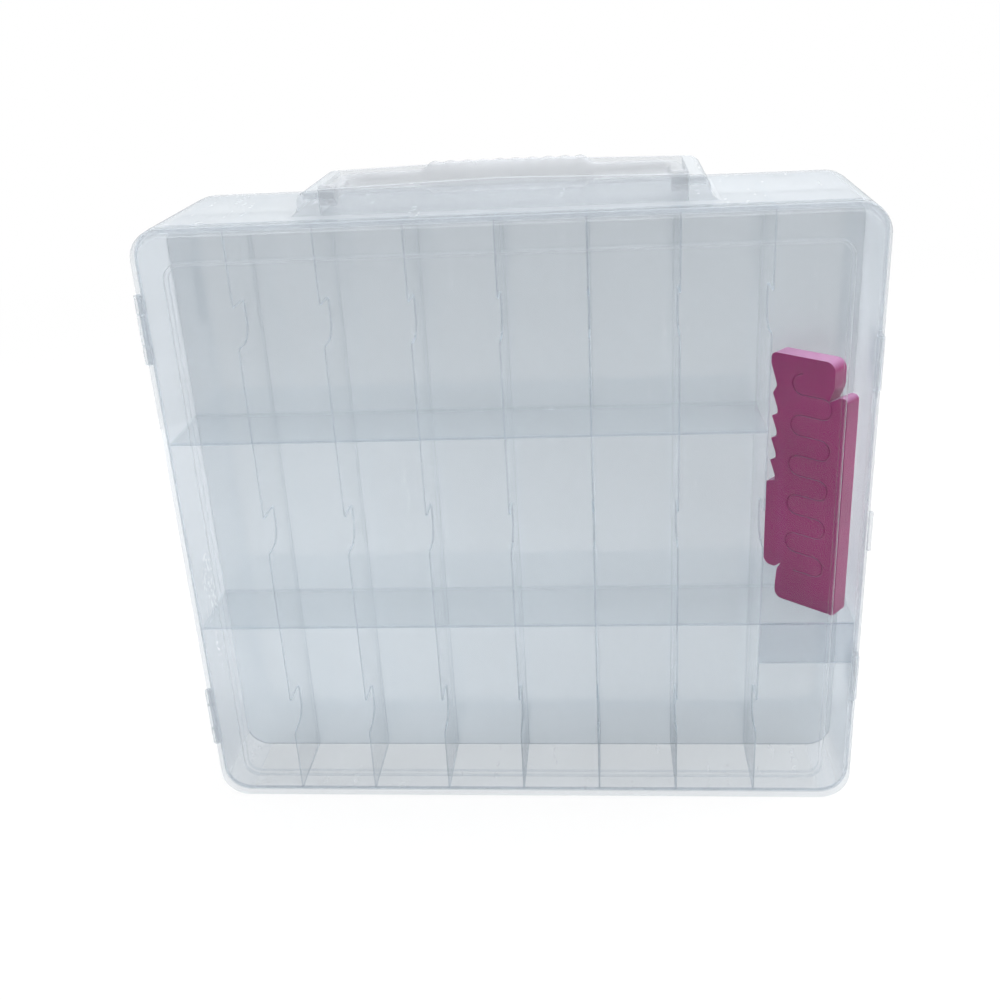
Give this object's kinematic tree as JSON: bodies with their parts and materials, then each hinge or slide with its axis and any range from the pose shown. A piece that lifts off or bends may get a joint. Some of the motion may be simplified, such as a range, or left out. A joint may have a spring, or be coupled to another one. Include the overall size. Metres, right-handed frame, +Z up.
{
  "type": "embroidery thread box",
  "caption": "Clear double-sided thread box with small fixed bins behind two hinged, latched lids, a folding carry handle and a loose thread comb.",
  "frame": {"origin": "middle of the base, on the surface that the box stands on", "axes": "+X towards the latches, across the columns of bins; +Y from the front lid to the rear lid; +Z up"},
  "size_m": [0.3693, 0.106, 0.3517],
  "materials": {
    "clear_case": "clear polypropylene, smooth, faintly milky",
    "clear_lid": "clear polypropylene, smooth and glossy",
    "clear_latch": "clear polypropylene, glossy",
    "clear_handle": "clear polypropylene, thicker, slightly grey",
    "clear_pin": "clear plastic rod",
    "comb_pink": "raspberry pink, satin, softly rounded"
  },
  "bodies": {
    "case": {"case_frame": "clear_case", "centre_web": "clear_case", "front_upper_shelf": "clear_case", "front_lower_shelf": "clear_case", "rear_upper_shelf": "clear_case", "rear_lower_shelf": "clear_case", "front_divider_1": "clear_case", "front_divider_2": "clear_case", "front_divider_3": "clear_case", "front_divider_4": "clear_case", "front_divider_5": "clear_case", "front_divider_6": "clear_case", "front_divider_7": "clear_case", "rear_divider_1": "clear_case", "rear_divider_2": "clear_case", "rear_divider_3": "clear_case", "rear_divider_4": "clear_case", "rear_divider_5": "clear_case", "rear_divider_6": "clear_case", "rear_divider_7": "clear_case", "front_bin_lip": "clear_case", "rear_bin_lip": "clear_case", "front_hinge_pins": "clear_pin", "rear_hinge_pins": "clear_pin", "handle_seat": "clear_case", "handle_pins": "clear_pin"},
    "front_lid": {"front_lid": "clear_lid", "front_latch_pins": "clear_pin"},
    "rear_lid": {"rear_lid": "clear_lid", "rear_latch_pins": "clear_pin"},
    "front_upper_latch": {"front_upper_latch": "clear_latch"},
    "front_lower_latch": {"front_lower_latch": "clear_latch"},
    "rear_upper_latch": {"rear_upper_latch": "clear_latch"},
    "rear_lower_latch": {"rear_lower_latch": "clear_latch"},
    "carry_handle": {"carry_handle": "clear_handle"},
    "thread_comb": {"thread_comb": "comb_pink"}
  },
  "joints": [
    {"name": "front_lid_hinge", "type": "hinge", "parent": "case", "child": "front_lid", "pos_m": [-0.1828, -0.0426, 0.1675], "axis": [0, 0, -1], "range_deg": [0, 170]},
    {"name": "rear_lid_hinge", "type": "hinge", "parent": "case", "child": "rear_lid", "pos_m": [-0.1828, 0.0426, 0.1675], "axis": [0, 0, 1], "range_deg": [0, 170]},
    {"name": "front_upper_latch_hinge", "type": "hinge", "parent": "front_lid", "child": "front_upper_latch", "pos_m": [0.18005, -0.0471, 0.2565], "axis": [0, 0, -1], "range_deg": [0, 95]},
    {"name": "front_lower_latch_hinge", "type": "hinge", "parent": "front_lid", "child": "front_lower_latch", "pos_m": [0.18005, -0.0471, 0.0785], "axis": [0, 0, -1], "range_deg": [0, 95]},
    {"name": "rear_upper_latch_hinge", "type": "hinge", "parent": "rear_lid", "child": "rear_upper_latch", "pos_m": [0.18005, 0.0471, 0.2565], "axis": [0, 0, 1], "range_deg": [0, 95]},
    {"name": "rear_lower_latch_hinge", "type": "hinge", "parent": "rear_lid", "child": "rear_lower_latch", "pos_m": [0.18005, 0.0471, 0.0785], "axis": [0, 0, 1], "range_deg": [0, 95]},
    {"name": "handle_pivot", "type": "hinge", "parent": "case", "child": "carry_handle", "pos_m": [0, -0.0241, 0.3435], "axis": [1, 0, 0], "range_deg": [0, 90]},
    {"name": "comb_lift", "type": "slide", "parent": "case", "child": "thread_comb", "axis": [0, 0, 1], "range_m": [0, 0.07]}
  ]
}
